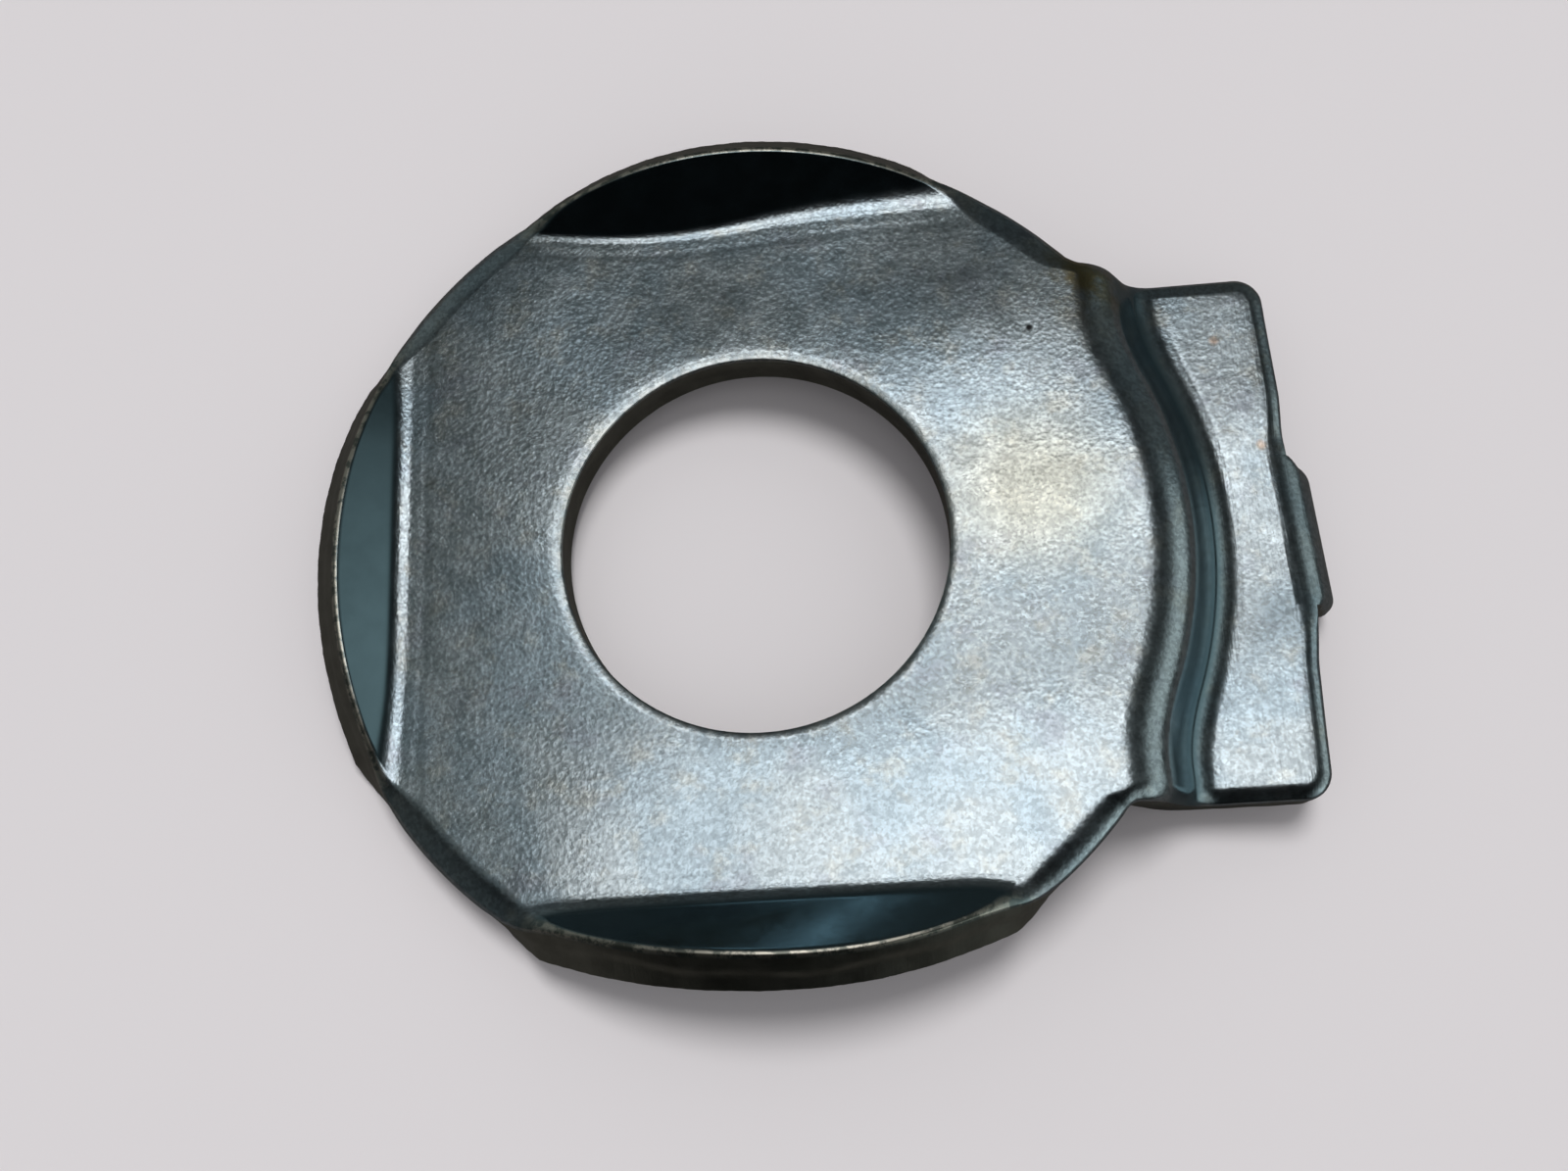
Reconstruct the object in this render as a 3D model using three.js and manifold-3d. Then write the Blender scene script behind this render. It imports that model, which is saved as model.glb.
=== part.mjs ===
// Stamped retaining plate, pressed from one piece of sheet steel: a round disc with a large centre
// hole, three rim segments folded up along straight lines, and on the fourth side a wide tab that
// steps down through a curved joggle and ends in a small tooth bent at a right angle.
// Millimetres, +Z up. The disc lies level, its hole runs along Z, and the tab points along +X.
// The origin is the bottom centre of the plate's bounding box.

import * as THREE from 'three';
import { mergeVertices } from 'three/addons/utils/BufferGeometryUtils.js';
import Module from 'manifold-3d';

// Sheet and blank
const sheetThickness = 3.0;
const holeRadius = 12.5;
const discRadius = 28.5;
const tabHalfWidth = 18.0;
const tabEnd = 35.6;
const tabCornerRadius = 1.8;
const neckFilletRadius = 1.5;
const edgeRollWidth = 0.8;
const edgeRollDepth = 0.5;
const holeRoll = 0.4;

// Rim segments: three straight folds at one distance from the hole's centre
const foldDistance = 22.3;
const lipAngle = THREE.MathUtils.degToRad(42);
const lipInnerRadius = 1.6;
const neutralFibre = 0.45;

// Joggle: it starts at a straight line, or at an arc around the hole where that reaches further out
const joggleLine = 21.5;
const joggleArcRadius = 24.7;
const joggleBlend = 1.2;
const joggleRun = 6.6;
const joggleAngle = THREE.MathUtils.degToRad(59);
const upperBendRadius = 4.2;
const lowerBendRadius = 2.4;

// Tooth: the middle of the tab's end edge, bent down
const toothHalfWidth = 5.2;
const toothFace = 37.5;
const toothInnerRadius = 0.3;
const toothBelowTab = 1.8;
const toothTipChamfer = 0.5;
const toothRootOverlap = 1.0;

// Values that follow from the driving dimensions
const upperBendRun = upperBendRadius * Math.sin(joggleAngle);
const upperBendDrop = upperBendRadius * (1 - Math.cos(joggleAngle));
const lowerBendRun = lowerBendRadius * Math.sin(joggleAngle);
const lowerBendDrop = lowerBendRadius * (1 - Math.cos(joggleAngle));
const wallRun = joggleRun - upperBendRun - lowerBendRun;
const wallDrop = wallRun * Math.tan(joggleAngle);
const tabDrop = upperBendDrop + wallDrop + lowerBendDrop;
const lipBendLength = (lipInnerRadius + neutralFibre * sheetThickness) * lipAngle;

// Facet counts
const arcSteps = 30;
const tabEndSteps = 10;
const tabSideSteps = 14;
const cornerSteps = 3;
const filletSteps = 2;
const bendSteps = 4;
const lowerBendSteps = 3;
const toothBendSteps = 6;
const ringGap = 0.06;
const weldDistance = 1e-4;

// The upper half of the blank's outline, from the middle of the tab's end round to the far side.
function halfOutline() {
  const filletX = Math.sqrt(
    (discRadius + neckFilletRadius) ** 2 - (tabHalfWidth + neckFilletRadius) ** 2,
  );
  const filletY = tabHalfWidth + neckFilletRadius;
  const discStart = Math.atan2(filletY, filletX);
  const cornerX = tabEnd - tabCornerRadius;
  const cornerY = tabHalfWidth - tabCornerRadius;
  const pieces = [
    [new THREE.LineCurve(new THREE.Vector2(tabEnd, 0), new THREE.Vector2(tabEnd, cornerY)), tabEndSteps],
    [arc(cornerX, cornerY, tabCornerRadius, 0, Math.PI / 2, false), cornerSteps],
    [
      new THREE.LineCurve(
        new THREE.Vector2(cornerX, tabHalfWidth),
        new THREE.Vector2(filletX, tabHalfWidth),
      ),
      tabSideSteps,
    ],
    [arc(filletX, filletY, neckFilletRadius, -Math.PI / 2, discStart - Math.PI, true), filletSteps],
    [arc(0, 0, discRadius, discStart, Math.PI, false), arcSteps],
  ];
  const points = [];
  for (const [curve, steps] of pieces) {
    for (let i = 0; i < steps; i += 1) points.push(curve.getPoint(i / steps));
  }
  points.push(new THREE.Vector2(-discRadius, 0));
  return points;
}

function arc(x, y, radius, start, end, clockwise) {
  return new THREE.EllipseCurve(x, y, radius, radius, start, end, clockwise);
}

// The whole outline: the upper half, then its mirror image without the two points on the X axis.
function blankOutline() {
  const upper = halfOutline();
  const lower = upper
    .slice(1, -1)
    .reverse()
    .map((point) => new THREE.Vector2(point.x, -point.y));
  return upper.concat(lower);
}

// Drop and slope of the joggle's top face at a level distance from its upper edge.
function joggleProfile(run) {
  if (run < upperBendRun) {
    const slope = Math.asin(run / upperBendRadius);
    return { drop: upperBendRadius * (1 - Math.cos(slope)), slope };
  }
  if (run < upperBendRun + wallRun) {
    return { drop: upperBendDrop + (run - upperBendRun) * Math.tan(joggleAngle), slope: joggleAngle };
  }
  if (run < joggleRun) {
    const slope = Math.asin((joggleRun - run) / lowerBendRadius);
    return { drop: tabDrop - lowerBendRadius * (1 - Math.cos(slope)), slope };
  }
  return { drop: tabDrop, slope: 0 };
}

// How far a point lies beyond the joggle's upper edge, and which way is outward there.
function joggleReach(x, y) {
  const radius = Math.hypot(x, y);
  const pastArc = radius - joggleArcRadius;
  const pastLine = x - joggleLine;
  const share = THREE.MathUtils.clamp(0.5 + (pastLine - pastArc) / (2 * joggleBlend), 0, 1);
  const reach = THREE.MathUtils.lerp(pastLine, pastArc, share) - joggleBlend * share * (1 - share);
  const outward = new THREE.Vector2(1, 0).lerp(new THREE.Vector2(x, y).divideScalar(radius), share);
  return { reach, outward: outward.normalize() };
}

// How far a point lies beyond the nearest of the three straight folds, and which way is outward.
function lipReach(x, y) {
  const acrossSide = Math.abs(y) > -x;
  const outward = acrossSide ? new THREE.Vector2(0, Math.sign(y)) : new THREE.Vector2(-1, 0);
  const reach = (acrossSide ? Math.abs(y) : -x) - foldDistance;
  return { reach, outward };
}

// Moves a point of the flat blank, given by its depth under the top face, to the pressed plate.
function press(x, y, depth) {
  const towardsTab = x > Math.abs(y);
  const { reach, outward } = towardsTab ? joggleReach(x, y) : lipReach(x, y);
  if (reach <= 0) return new THREE.Vector3(x, y, -depth);
  let shift;
  let height;
  if (towardsTab) {
    const { drop, slope } = joggleProfile(reach);
    shift = -depth * Math.sin(slope);
    height = -drop - depth * Math.cos(slope);
  } else {
    const bent = Math.min(reach / lipBendLength, 1) * lipAngle;
    const straight = Math.max(reach - lipBendLength, 0);
    const radius = lipInnerRadius + depth;
    shift = radius * Math.sin(bent) + straight * Math.cos(lipAngle) - reach;
    height = lipInnerRadius - radius * Math.cos(bent) + straight * Math.sin(lipAngle);
  }
  return new THREE.Vector3(x + outward.x * shift, y + outward.y * shift, height);
}

// Distances past a fold or past the joggle's edge where the sheet needs a ring of vertices.
function ringReaches(towardsTab, room) {
  const reaches = [];
  for (let i = 0; i <= bendSteps; i += 1) {
    const part = i / bendSteps;
    reaches.push(towardsTab ? upperBendRadius * Math.sin(joggleAngle * part) : lipBendLength * part);
  }
  for (let i = 0; i <= lowerBendSteps; i += 1) {
    const turn = joggleAngle * (1 - i / lowerBendSteps);
    const level = joggleRun - lowerBendRadius * Math.sin(turn);
    const spread = lipBendLength + (room - lipBendLength) * ((i + 1) / (lowerBendSteps + 2));
    reaches.push(towardsTab ? level : spread);
  }
  return reaches;
}

// Distances from the hole's centre of the rings along one ray, which ends at an outline point.
function ringRadii(end) {
  const length = end.length();
  const towardsTab = end.x > Math.abs(end.y);
  const acrossLine = towardsTab ? end.x : Math.max(-end.x, Math.abs(end.y));
  const cosine = acrossLine / length;
  const room = acrossLine - foldDistance;
  const reaches = ringReaches(towardsTab, room);
  return reaches.map((reach, index) => {
    const line = (towardsTab ? joggleLine : foldDistance) + reach;
    const ring = towardsTab ? Math.max(line / cosine, joggleArcRadius + reach) : line / cosine;
    const limit = length - edgeRollWidth - (reaches.length - index) * ringGap;
    return Math.min(ring, limit);
  });
}

// The section of the blank along one ray, as a closed loop of [distance from centre, depth].
function raySection(end) {
  const length = end.length();
  const rings = ringRadii(end);
  const lower = rings.map((radius) => [radius, sheetThickness]);
  const upper = rings.map((radius) => [radius, 0]).reverse();
  return [
    [holeRadius, sheetThickness],
    ...lower,
    [length, sheetThickness],
    [length, edgeRollDepth],
    [length - edgeRollWidth, 0],
    ...upper,
    [holeRadius + holeRoll, 0],
    [holeRadius, holeRoll],
  ];
}

// A lathed ring with one section for each outline point, whose vertices are then moved to the
// places that those points have on the pressed plate.
function pressedSheet() {
  const outline = blankOutline();
  const sections = outline.map(raySection);
  const loop = sections[0].map(([radius, depth]) => new THREE.Vector2(radius, -depth));
  loop.push(loop[0].clone());
  const geometry = new THREE.LatheGeometry(loop, outline.length);
  const positions = geometry.getAttribute('position');
  for (let ray = 0; ray <= outline.length; ray += 1) {
    const end = outline[ray % outline.length];
    const section = sections[ray % outline.length];
    const length = end.length();
    for (let step = 0; step < loop.length; step += 1) {
      const [radius, depth] = section[step % section.length];
      const place = press((end.x * radius) / length, (end.y * radius) / length, depth);
      positions.setXYZ(ray * loop.length + step, place.x, place.y, place.z);
    }
  }
  return geometry;
}

// The tooth with its root inside the tab, extruded across the tab from a profile in X and Z.
function toothSolid() {
  const outerRadius = toothInnerRadius + sheetThickness;
  const bendX = toothFace - outerRadius;
  const rootX = bendX - toothRootOverlap;
  const bendZ = -tabDrop - outerRadius;
  const tipZ = -tabDrop - sheetThickness - toothBelowTab;
  const innerX = toothFace - sheetThickness;
  const profile = new THREE.Shape();
  profile.moveTo(rootX, -tabDrop - sheetThickness);
  profile.lineTo(bendX, -tabDrop - sheetThickness);
  profile.absarc(bendX, bendZ, toothInnerRadius, Math.PI / 2, 0, true);
  profile.lineTo(innerX, tipZ);
  profile.lineTo(toothFace - toothTipChamfer, tipZ);
  profile.lineTo(toothFace, tipZ + toothTipChamfer);
  profile.lineTo(toothFace, bendZ);
  profile.absarc(bendX, bendZ, outerRadius, 0, Math.PI / 2, false);
  profile.lineTo(rootX, -tabDrop);
  profile.closePath();
  const geometry = new THREE.ExtrudeGeometry(profile, {
    depth: 2 * toothHalfWidth,
    bevelEnabled: false,
    curveSegments: toothBendSteps,
  });
  geometry.rotateX(Math.PI / 2);
  geometry.translate(0, toothHalfWidth, 0);
  return geometry;
}

// The bite out of the tab's end edge that the tooth is bent from. It runs past the edge and past
// both faces of the sheet, so that it cuts cleanly.
function toothNotch() {
  const notchStart = toothFace - toothInnerRadius - sheetThickness;
  const notchLength = 2 * (tabEnd - notchStart);
  const notchHeight = 3 * sheetThickness;
  const geometry = new THREE.BoxGeometry(notchLength, 2 * toothHalfWidth, notchHeight);
  geometry.translate(notchStart + notchLength / 2, 0, -tabDrop - sheetThickness / 2);
  return geometry;
}

const wasm = await Module();
wasm.setup();

function solidFrom(geometry) {
  const bare = geometry.clone();
  bare.deleteAttribute('normal');
  bare.deleteAttribute('uv');
  const merged = mergeVertices(bare, weldDistance);
  return new wasm.Manifold(
    new wasm.Mesh({
      numProp: 3,
      vertProperties: new Float32Array(merged.getAttribute('position').array),
      triVerts: new Uint32Array(merged.getIndex().array),
    }),
  );
}

function geometryFrom(solid) {
  const mesh = solid.getMesh();
  const geometry = new THREE.BufferGeometry();
  geometry.setAttribute('position', new THREE.BufferAttribute(mesh.vertProperties, 3));
  geometry.setIndex(new THREE.BufferAttribute(mesh.triVerts, 1));
  geometry.computeVertexNormals();
  return geometry;
}

// Places the geometry so that the bottom centre of its bounding box is the origin.
function standOnOrigin(geometry) {
  geometry.computeBoundingBox();
  const { min, max } = geometry.boundingBox;
  return geometry.translate(-(min.x + max.x) / 2, -(min.y + max.y) / 2, -min.z);
}

const sheet = solidFrom(pressedSheet()).subtract(solidFrom(toothNotch()));
const plateGeometry = standOnOrigin(geometryFrom(sheet.add(solidFrom(toothSolid()))));
const zincPlatedSteel = new THREE.MeshStandardMaterial({
  color: new THREE.Color(0.62, 0.65, 0.68),
  roughness: 0.38,
  metalness: 1.0,
});

const plate = new THREE.Mesh(plateGeometry, zincPlatedSteel);
plate.name = 'pressed_plate';

const retainingPlate = new THREE.Group();
retainingPlate.add(plate);

export default retainingPlate;
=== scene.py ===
"""Stamped retaining plate in zinc-plated steel: its finished surface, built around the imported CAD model.

The plate is pressed from one blank. Every vertex starts as a point of the flat blank, given by x, y and its
depth under the top face, and press() moves it to its place on the finished plate. The centre of the hole on
the top face is the origin of that work, in millimetres, and the mesh is then carried to the row frame.
"""

import math

import bpy
import numpy as np
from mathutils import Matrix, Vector


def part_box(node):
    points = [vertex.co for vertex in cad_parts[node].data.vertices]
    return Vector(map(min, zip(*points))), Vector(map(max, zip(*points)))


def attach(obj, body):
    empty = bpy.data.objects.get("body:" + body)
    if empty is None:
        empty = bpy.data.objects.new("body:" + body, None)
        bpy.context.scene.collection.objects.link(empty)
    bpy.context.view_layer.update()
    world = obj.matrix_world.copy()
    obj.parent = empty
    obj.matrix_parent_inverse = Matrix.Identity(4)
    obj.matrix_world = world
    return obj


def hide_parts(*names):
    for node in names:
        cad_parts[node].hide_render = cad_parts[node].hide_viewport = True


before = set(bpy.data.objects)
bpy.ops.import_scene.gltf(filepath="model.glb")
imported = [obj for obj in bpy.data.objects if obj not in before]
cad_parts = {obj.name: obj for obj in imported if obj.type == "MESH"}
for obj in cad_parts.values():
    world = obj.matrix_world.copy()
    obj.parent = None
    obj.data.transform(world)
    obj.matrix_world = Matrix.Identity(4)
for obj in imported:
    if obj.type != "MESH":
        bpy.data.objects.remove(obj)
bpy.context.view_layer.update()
PLATE_LOW, PLATE_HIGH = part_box("pressed_plate")

MM = 0.001
RANDOM = np.random.default_rng(7)

# Sheet and blank, millimetres
SHEET = 3.0
HOLE_RADIUS = 12.5
DISC_RADIUS = 28.5
TAB_HALF_WIDTH = 18.0
TAB_END = 35.6
TAB_END_CROWN = 0.3
TAB_CORNER = 1.8
NECK_FILLET = 1.5
BOTTOM_BREAK = 0.1

# Rim segments folded up along three nearly straight lines. A list of three gives the +Y, the -X and the
# -Y side in that order.
FOLD_DISTANCE = np.array([22.4, 22.5, 21.7])
LIP_ANGLE = np.radians([42.0, 42.0, 48.0])
NEAR_LIP_EASE = math.radians(6.0)
LIP_INNER_RADIUS = np.array([1.1, 2.0, 1.6])
FOLD_END_FLARE = np.array([2.2, 0.8, 0.4])
FOLD_HALF_LENGTH = 17.9
FAR_FOLD_SAG, FAR_FOLD_SAG_PLACE, FAR_FOLD_SAG_WIDTH = 0.72, -4.5, 7.5
FOLD_END_DRIFT = 0.4
NEAR_FOLD_END_DRIFT = (0.9, 0.5)
NEUTRAL_FIBRE = 0.45

# Faint lines pressed by the punch, beside each fold and on the tab: place, half width and depth
FOLD_LINE = (-0.95, 0.26, 0.009)
TAB_LINE = (0.35, 0.14, 0.012)

# Joggle between the disc and the tab
JOGGLE_LINE = 21.5
JOGGLE_ARC = 24.7
JOGGLE_BLEND = 1.2
JOGGLE_RUN = 6.6
JOGGLE_ANGLE = math.radians(59.0)
UPPER_BEND = 4.2
LOWER_BEND = 2.4
UPPER_RUN = UPPER_BEND * math.sin(JOGGLE_ANGLE)
UPPER_DROP = UPPER_BEND * (1.0 - math.cos(JOGGLE_ANGLE))
LOWER_RUN = LOWER_BEND * math.sin(JOGGLE_ANGLE)
LOWER_DROP = LOWER_BEND * (1.0 - math.cos(JOGGLE_ANGLE))
WALL_RUN = JOGGLE_RUN - UPPER_RUN - LOWER_RUN
TAB_DROP = UPPER_DROP + WALL_RUN * math.tan(JOGGLE_ANGLE) + LOWER_DROP

# Tooth: the middle of the tab's end edge, bent down between two slits, a little off the middle and out of
# square, with a large rounding on its +Y side and a small one on the other
TOOTH_HALF_WIDTH = 5.2
TOOTH_FACE = 37.5
TOOTH_INNER_RADIUS = 0.3
TOOTH_BELOW_TAB = 1.8
TOOTH_ROOT = TOOTH_FACE - TOOTH_INNER_RADIUS - SHEET
TOOTH_OUTER_RADIUS = TOOTH_INNER_RADIUS + SHEET
TOOTH_CORNER = 0.9
TOOTH_FAR_CORNER = 1.5
TOOTH_CORNER_GROWTH = (1.3, 3.0)
SMALLEST_CORNER = 1e-3
EDGE_MARGIN = 0.05
TINY = 1e-6
TOOTH_SKEW = 0.25
TOOTH_SHIFT = 0.3
TOOTH_REACH = 4.5
SLIT_OPENING = 0.01

# Rolled edges, as width and depth: round the hole, on the disc, the folded rim, the tab's end and sides
HOLE_ROLL = (0.7, 0.13)
DISC_ROLL = (2.0, 0.95)
LIP_ROLL = (0.28, 0.26)
END_ROLL = (1.0, 0.6)
SIDE_ROLL = (1.15, 0.65)

# Sheared walls: how far the torn lower part and the hole's stand back, and how much the first one varies
TORN_RECESS, TORN_VARIATION = 0.07, 0.025
HOLE_TORN_RECESS = 0.03

# Share of wear and painted highlight on the hole's edge, against 1 on the folded rim
HOLE_WEAR_AND_HIGHLIGHT = 0.45

# The sheet's slow unevenness: a few long ripples with these heights and lengths
RIPPLES = 9
RIPPLE_HEIGHT = 0.011
RIPPLE_LENGTHS = (9.0, 22.0)

# The mesh: rays round the blank for each stretch of its outline, and rings for each part of a ray
ROOT_RAYS = 26
SLIT_RAYS = 8
END_RAYS = 34
CORNER_RAYS = 12
SIDE_RAYS = 56
NECK_RAYS = 10
ARC_RAYS = 180
HOLE_RINGS = 11
ROLL_RINGS = 12
WALL_RINGS = 11
FOLD_RINGS = 36
UPPER_BEND_RINGS = 14
LOWER_BEND_RINGS = 12
FLAT_RINGS = 14
OUTER_RINGS = 8
UNDERSIDE_RINGS = 9
UNDERSIDE_OUTER_RINGS = 3
HOLE_WALL_RINGS = 8
TOOTH_BEND_RINGS = 22
TOOTH_LEG_RINGS = 6
TOOTH_TIP_RINGS = 6
RING_GAP = 0.03
ROLL_SOFTENING = 8

# Where the rings that follow the folds and the joggle lie, from each fold and from the joggle's edges
FOLD_RING_SPAN = (-1.9, 4.2)
RINGS_BEFORE_JOGGLE = [-0.9, -0.5, -0.2]
RINGS_AFTER_JOGGLE = 0.9
TOP_FACE_MARGIN = 0.5

# Colours of the metal, linear: clouds in the zinc, a darker painted shade on the ironed faces, cut faces,
# worn rims with a painted highlight, and marks
BLUE_ZINC = (0.53, 0.63, 0.70, 1.0)
PALE_ZINC = (0.62, 0.69, 0.73, 1.0)
WARM_ZINC = (0.70, 0.68, 0.60, 1.0)
DUSKY_ZINC = (0.49, 0.53, 0.60, 1.0)
YELLOW_TINT = (0.77, 0.74, 0.62, 1.0)
PAINTED_SHADE_IRONED_ZINC = (0.22, 0.315, 0.36, 1.0)
DARK_CUT, PALE_CUT = (0.28, 0.28, 0.24, 1.0), (0.38, 0.38, 0.33, 1.0)
# Rims: a dark worn colour, and a pale cream that is partly wear and partly a painted highlight
DARK_RIM, BRIGHT_RIM_PAINTED_HIGHLIGHT = (0.30, 0.31, 0.27, 1.0), (0.90, 0.84, 0.72, 1.0)
STAIN_COLOUR = (0.40, 0.31, 0.13, 1.0)
RUST_COLOUR = (0.72, 0.46, 0.28, 1.0)
DARK_SPOT_COLOUR = (0.02, 0.02, 0.02, 1.0)

# Marks on the blank: middle, radius within which each is full, and radius at which it ends
YELLOW_PATCH = ((18.0, 2.5, 0.0), 1.0, 8.0)
STAIN = ((22.6, 16.6, 0.0), 0.4, 4.2)
RUST_SPECKS = [((31.6, 13.4, 0.0), 0.1, 0.5), ((34.0, 5.9, 0.0), 0.1, 0.5)]
DARK_SPOT = ((18.7, 13.2, 0.0), 0.12, 0.28)

# Height of the grain in millimetres
GRAIN_HEIGHT = 0.0092

# The table's slope and where the plate rests on it, from the centre of the hole
TABLE_SLOPE = 0.1171
TABLE_CONTACT = (-22.7, 0.0, -2.99)
TABLE_HALF_SIZE = 1.5

# Panels that the metal mirrors: name, low and high corner as shares of the height, height in metres, and
# radiance. The strip hangs just under the front panel and adds to it.
PANELS = [
    ("back_panel", (-0.215, 0.295), (0.37, 0.395), 1.5, 2.1),
    ("front_panel", (-0.215, -0.15), (0.37, 0.18), 1.5, 1.2),
    ("front_strip", (-0.06, 0.13), (0.37, 0.18), 1.49, 0.9),
]

# Broad light on the table: where it comes from, its strength and its spread in degrees
KEY_DIRECTION = (0.12, 0.38, 1.0)
KEY_STRENGTH = 1.7
KEY_SPREAD = 24.0

# Soft glows low in the room: direction, half width in degrees and strength
SIDE_GLOWS = [((-0.64, 0.64, 0.42), 35.0, 0.06), ((0.68, -0.68, 0.26), 28.0, 0.16)]

# The camera, from the centre of the hole, and its turn in degrees
EYE = (7.80, -29.27, 90.66)
EYE_TURN = (15.80, 4.61, -2.79)
LENS = 34.27
SENSOR_WIDTH = 36.0


def smooth_step(low, high, value):
    """0 up to low, 1 from high on, and an even rise between. low may lie above high."""
    share = np.clip((value - low) / (high - low), 0.0, 1.0)
    return share * share * (3.0 - 2.0 * share)


# ---- The blank's outline ----------------------------------------------------------------------------


def line(start, end, steps):
    """Points from start up to, but not at, end, with the outward normal on the right of the way."""
    start, end = np.array(start, float), np.array(end, float)
    share = (np.arange(steps) / steps)[:, None]
    way = (end - start) / np.linalg.norm(end - start)
    return start + share * (end - start), np.repeat([[way[1], -way[0]]], steps, 0)


def arc(centre, radius, start, end, steps):
    """Points of an arc up to, but not at, its end angle. A clockwise arc is a concave stretch."""
    angle = start + (end - start) * np.arange(steps) / steps
    out = np.stack([np.cos(angle), np.sin(angle)], 1)
    return np.array(centre) + radius * out, out * math.copysign(1.0, end - start)


def half_outline():
    """Upper half of the outline, from the middle of the tooth's root round to the far side: its points,
    outward normals, and the width and depth of its rolled edge."""
    neck_y = TAB_HALF_WIDTH + NECK_FILLET
    neck_x = math.sqrt((DISC_RADIUS + NECK_FILLET) ** 2 - neck_y**2)
    disc_start = math.atan2(neck_y, neck_x)
    corner_x, corner_y = TAB_END - TAB_CORNER, TAB_HALF_WIDTH - TAB_CORNER
    root_end = (TOOTH_ROOT, TOOTH_HALF_WIDTH)
    slit_end = (TAB_END, TOOTH_HALF_WIDTH + SLIT_OPENING)
    quarter = math.pi / 2
    stretches = [
        (line((TOOTH_ROOT, 0), root_end, ROOT_RAYS), (END_ROLL[0], 0.0)),
        (line(root_end, slit_end, SLIT_RAYS), END_ROLL),
        (line(slit_end, (TAB_END, corner_y), END_RAYS), END_ROLL),
        (arc((corner_x, corner_y), TAB_CORNER, 0.0, quarter, CORNER_RAYS), SIDE_ROLL),
        (line((corner_x, TAB_HALF_WIDTH), (neck_x, TAB_HALF_WIDTH), SIDE_RAYS), SIDE_ROLL),
        (arc((neck_x, neck_y), NECK_FILLET, -quarter, disc_start - math.pi, NECK_RAYS), SIDE_ROLL),
        (arc((0.0, 0.0), DISC_RADIUS, disc_start, math.pi, ARC_RAYS), DISC_ROLL),
    ]
    points = np.concatenate([stretch[0] for stretch, _ in stretches] + [[[-DISC_RADIUS, 0.0]]])
    normals = np.concatenate([stretch[1] for stretch, _ in stretches] + [[[-1.0, 0.0]]])
    counts = [len(stretch[0]) for stretch, _ in stretches]
    rolls = np.repeat([roll for _, roll in stretches], counts, axis=0)
    return points, normals, np.concatenate([rolls, [DISC_ROLL]])


def soften(values, passes):
    """Evens out steps between neighbouring rays all round the closed outline."""
    for _ in range(passes):
        values = 0.25 * np.roll(values, 1, 0) + 0.5 * values + 0.25 * np.roll(values, -1, 0)
    return values


def mirrored(upper, flip=1.0):
    """The whole outline's values from those of its upper half."""
    return np.concatenate([upper, upper[-2:0:-1] * flip])


def lip_share(points):
    """0 on the disc and 1 well out on a folded rim segment."""
    x, across = points[:, 0], np.abs(points[:, 1])
    beyond = np.maximum(across, -x) - FOLD_DISTANCE[0]
    return np.where(x > across, 0.0, smooth_step(0.4, 3.6, beyond))


def tooth_fall(x):
    """Depth of the tooth's outside under the tab's top face, over the first part of its bend."""
    run = np.clip(x - TOOTH_ROOT, 0.0, 2.0)
    return TOOTH_OUTER_RADIUS - np.sqrt(TOOTH_OUTER_RADIUS**2 - run**2)


def blank_rays():
    """All round the blank: every ray's edge point, inner end of the rolled edge, outward normal and roll
    depth, whether it ends in the tooth's root, how far its edge belongs to the tooth's bend, and how far
    it lies in a folded rim segment."""
    points, normals, rolls = half_outline()
    ray = np.arange(len(points))
    first, last = ROOT_RAYS, ROOT_RAYS + SLIT_RAYS
    root, slit = ray <= first, (ray > first) & (ray < last)
    flip = np.array([1.0, -1.0])
    points, normals, rolls = mirrored(points, flip), mirrored(normals, flip), mirrored(rolls)
    root, slit = mirrored(root) > 0, mirrored(slit) > 0
    lip = lip_share(points)[:, None]
    rolls = rolls + (np.array(LIP_ROLL) - rolls) * lip
    from_middle = np.abs(points[:, 1])
    at_end = (points[:, 0] > TOOTH_ROOT + TINY) & (from_middle < TAB_HALF_WIDTH - TAB_CORNER)
    beside_tooth = at_end * smooth_step(TOOTH_HALF_WIDTH + 1.8, TOOTH_HALF_WIDTH + 0.1, from_middle)
    rolls[:, 0] += (TAB_END - TOOTH_ROOT - rolls[:, 0]) * beside_tooth
    rolls = np.where((root | slit)[:, None], rolls, soften(rolls, ROLL_SOFTENING))
    crown = TAB_END_CROWN * smooth_step(TOOTH_HALF_WIDTH, TAB_HALF_WIDTH, from_middle)
    points[:, 0] -= crown * smooth_step(JOGGLE_LINE + JOGGLE_RUN, TAB_END - TAB_CORNER, points[:, 0])
    inner = points - normals * rolls[:, :1]
    inner[first] = (TOOTH_ROOT - END_ROLL[0], TOOTH_HALF_WIDTH)
    inner[last] = inner[first] * (TOOTH_ROOT / inner[first, 0]) + (0.0, 0.02)
    for k in range(first + 1, last):
        share = (k - first) / SLIT_RAYS
        inner[k] = inner[first] + (inner[last] - inner[first]) * share
    inner[-last:] = inner[last:0:-1] * flip
    beside_tooth = np.where(slit | root, 1.0, beside_tooth)
    return points, inner, normals, rolls[:, 1], root, beside_tooth, lip[:, 0]


# ---- Pressing the blank -----------------------------------------------------------------------------


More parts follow.
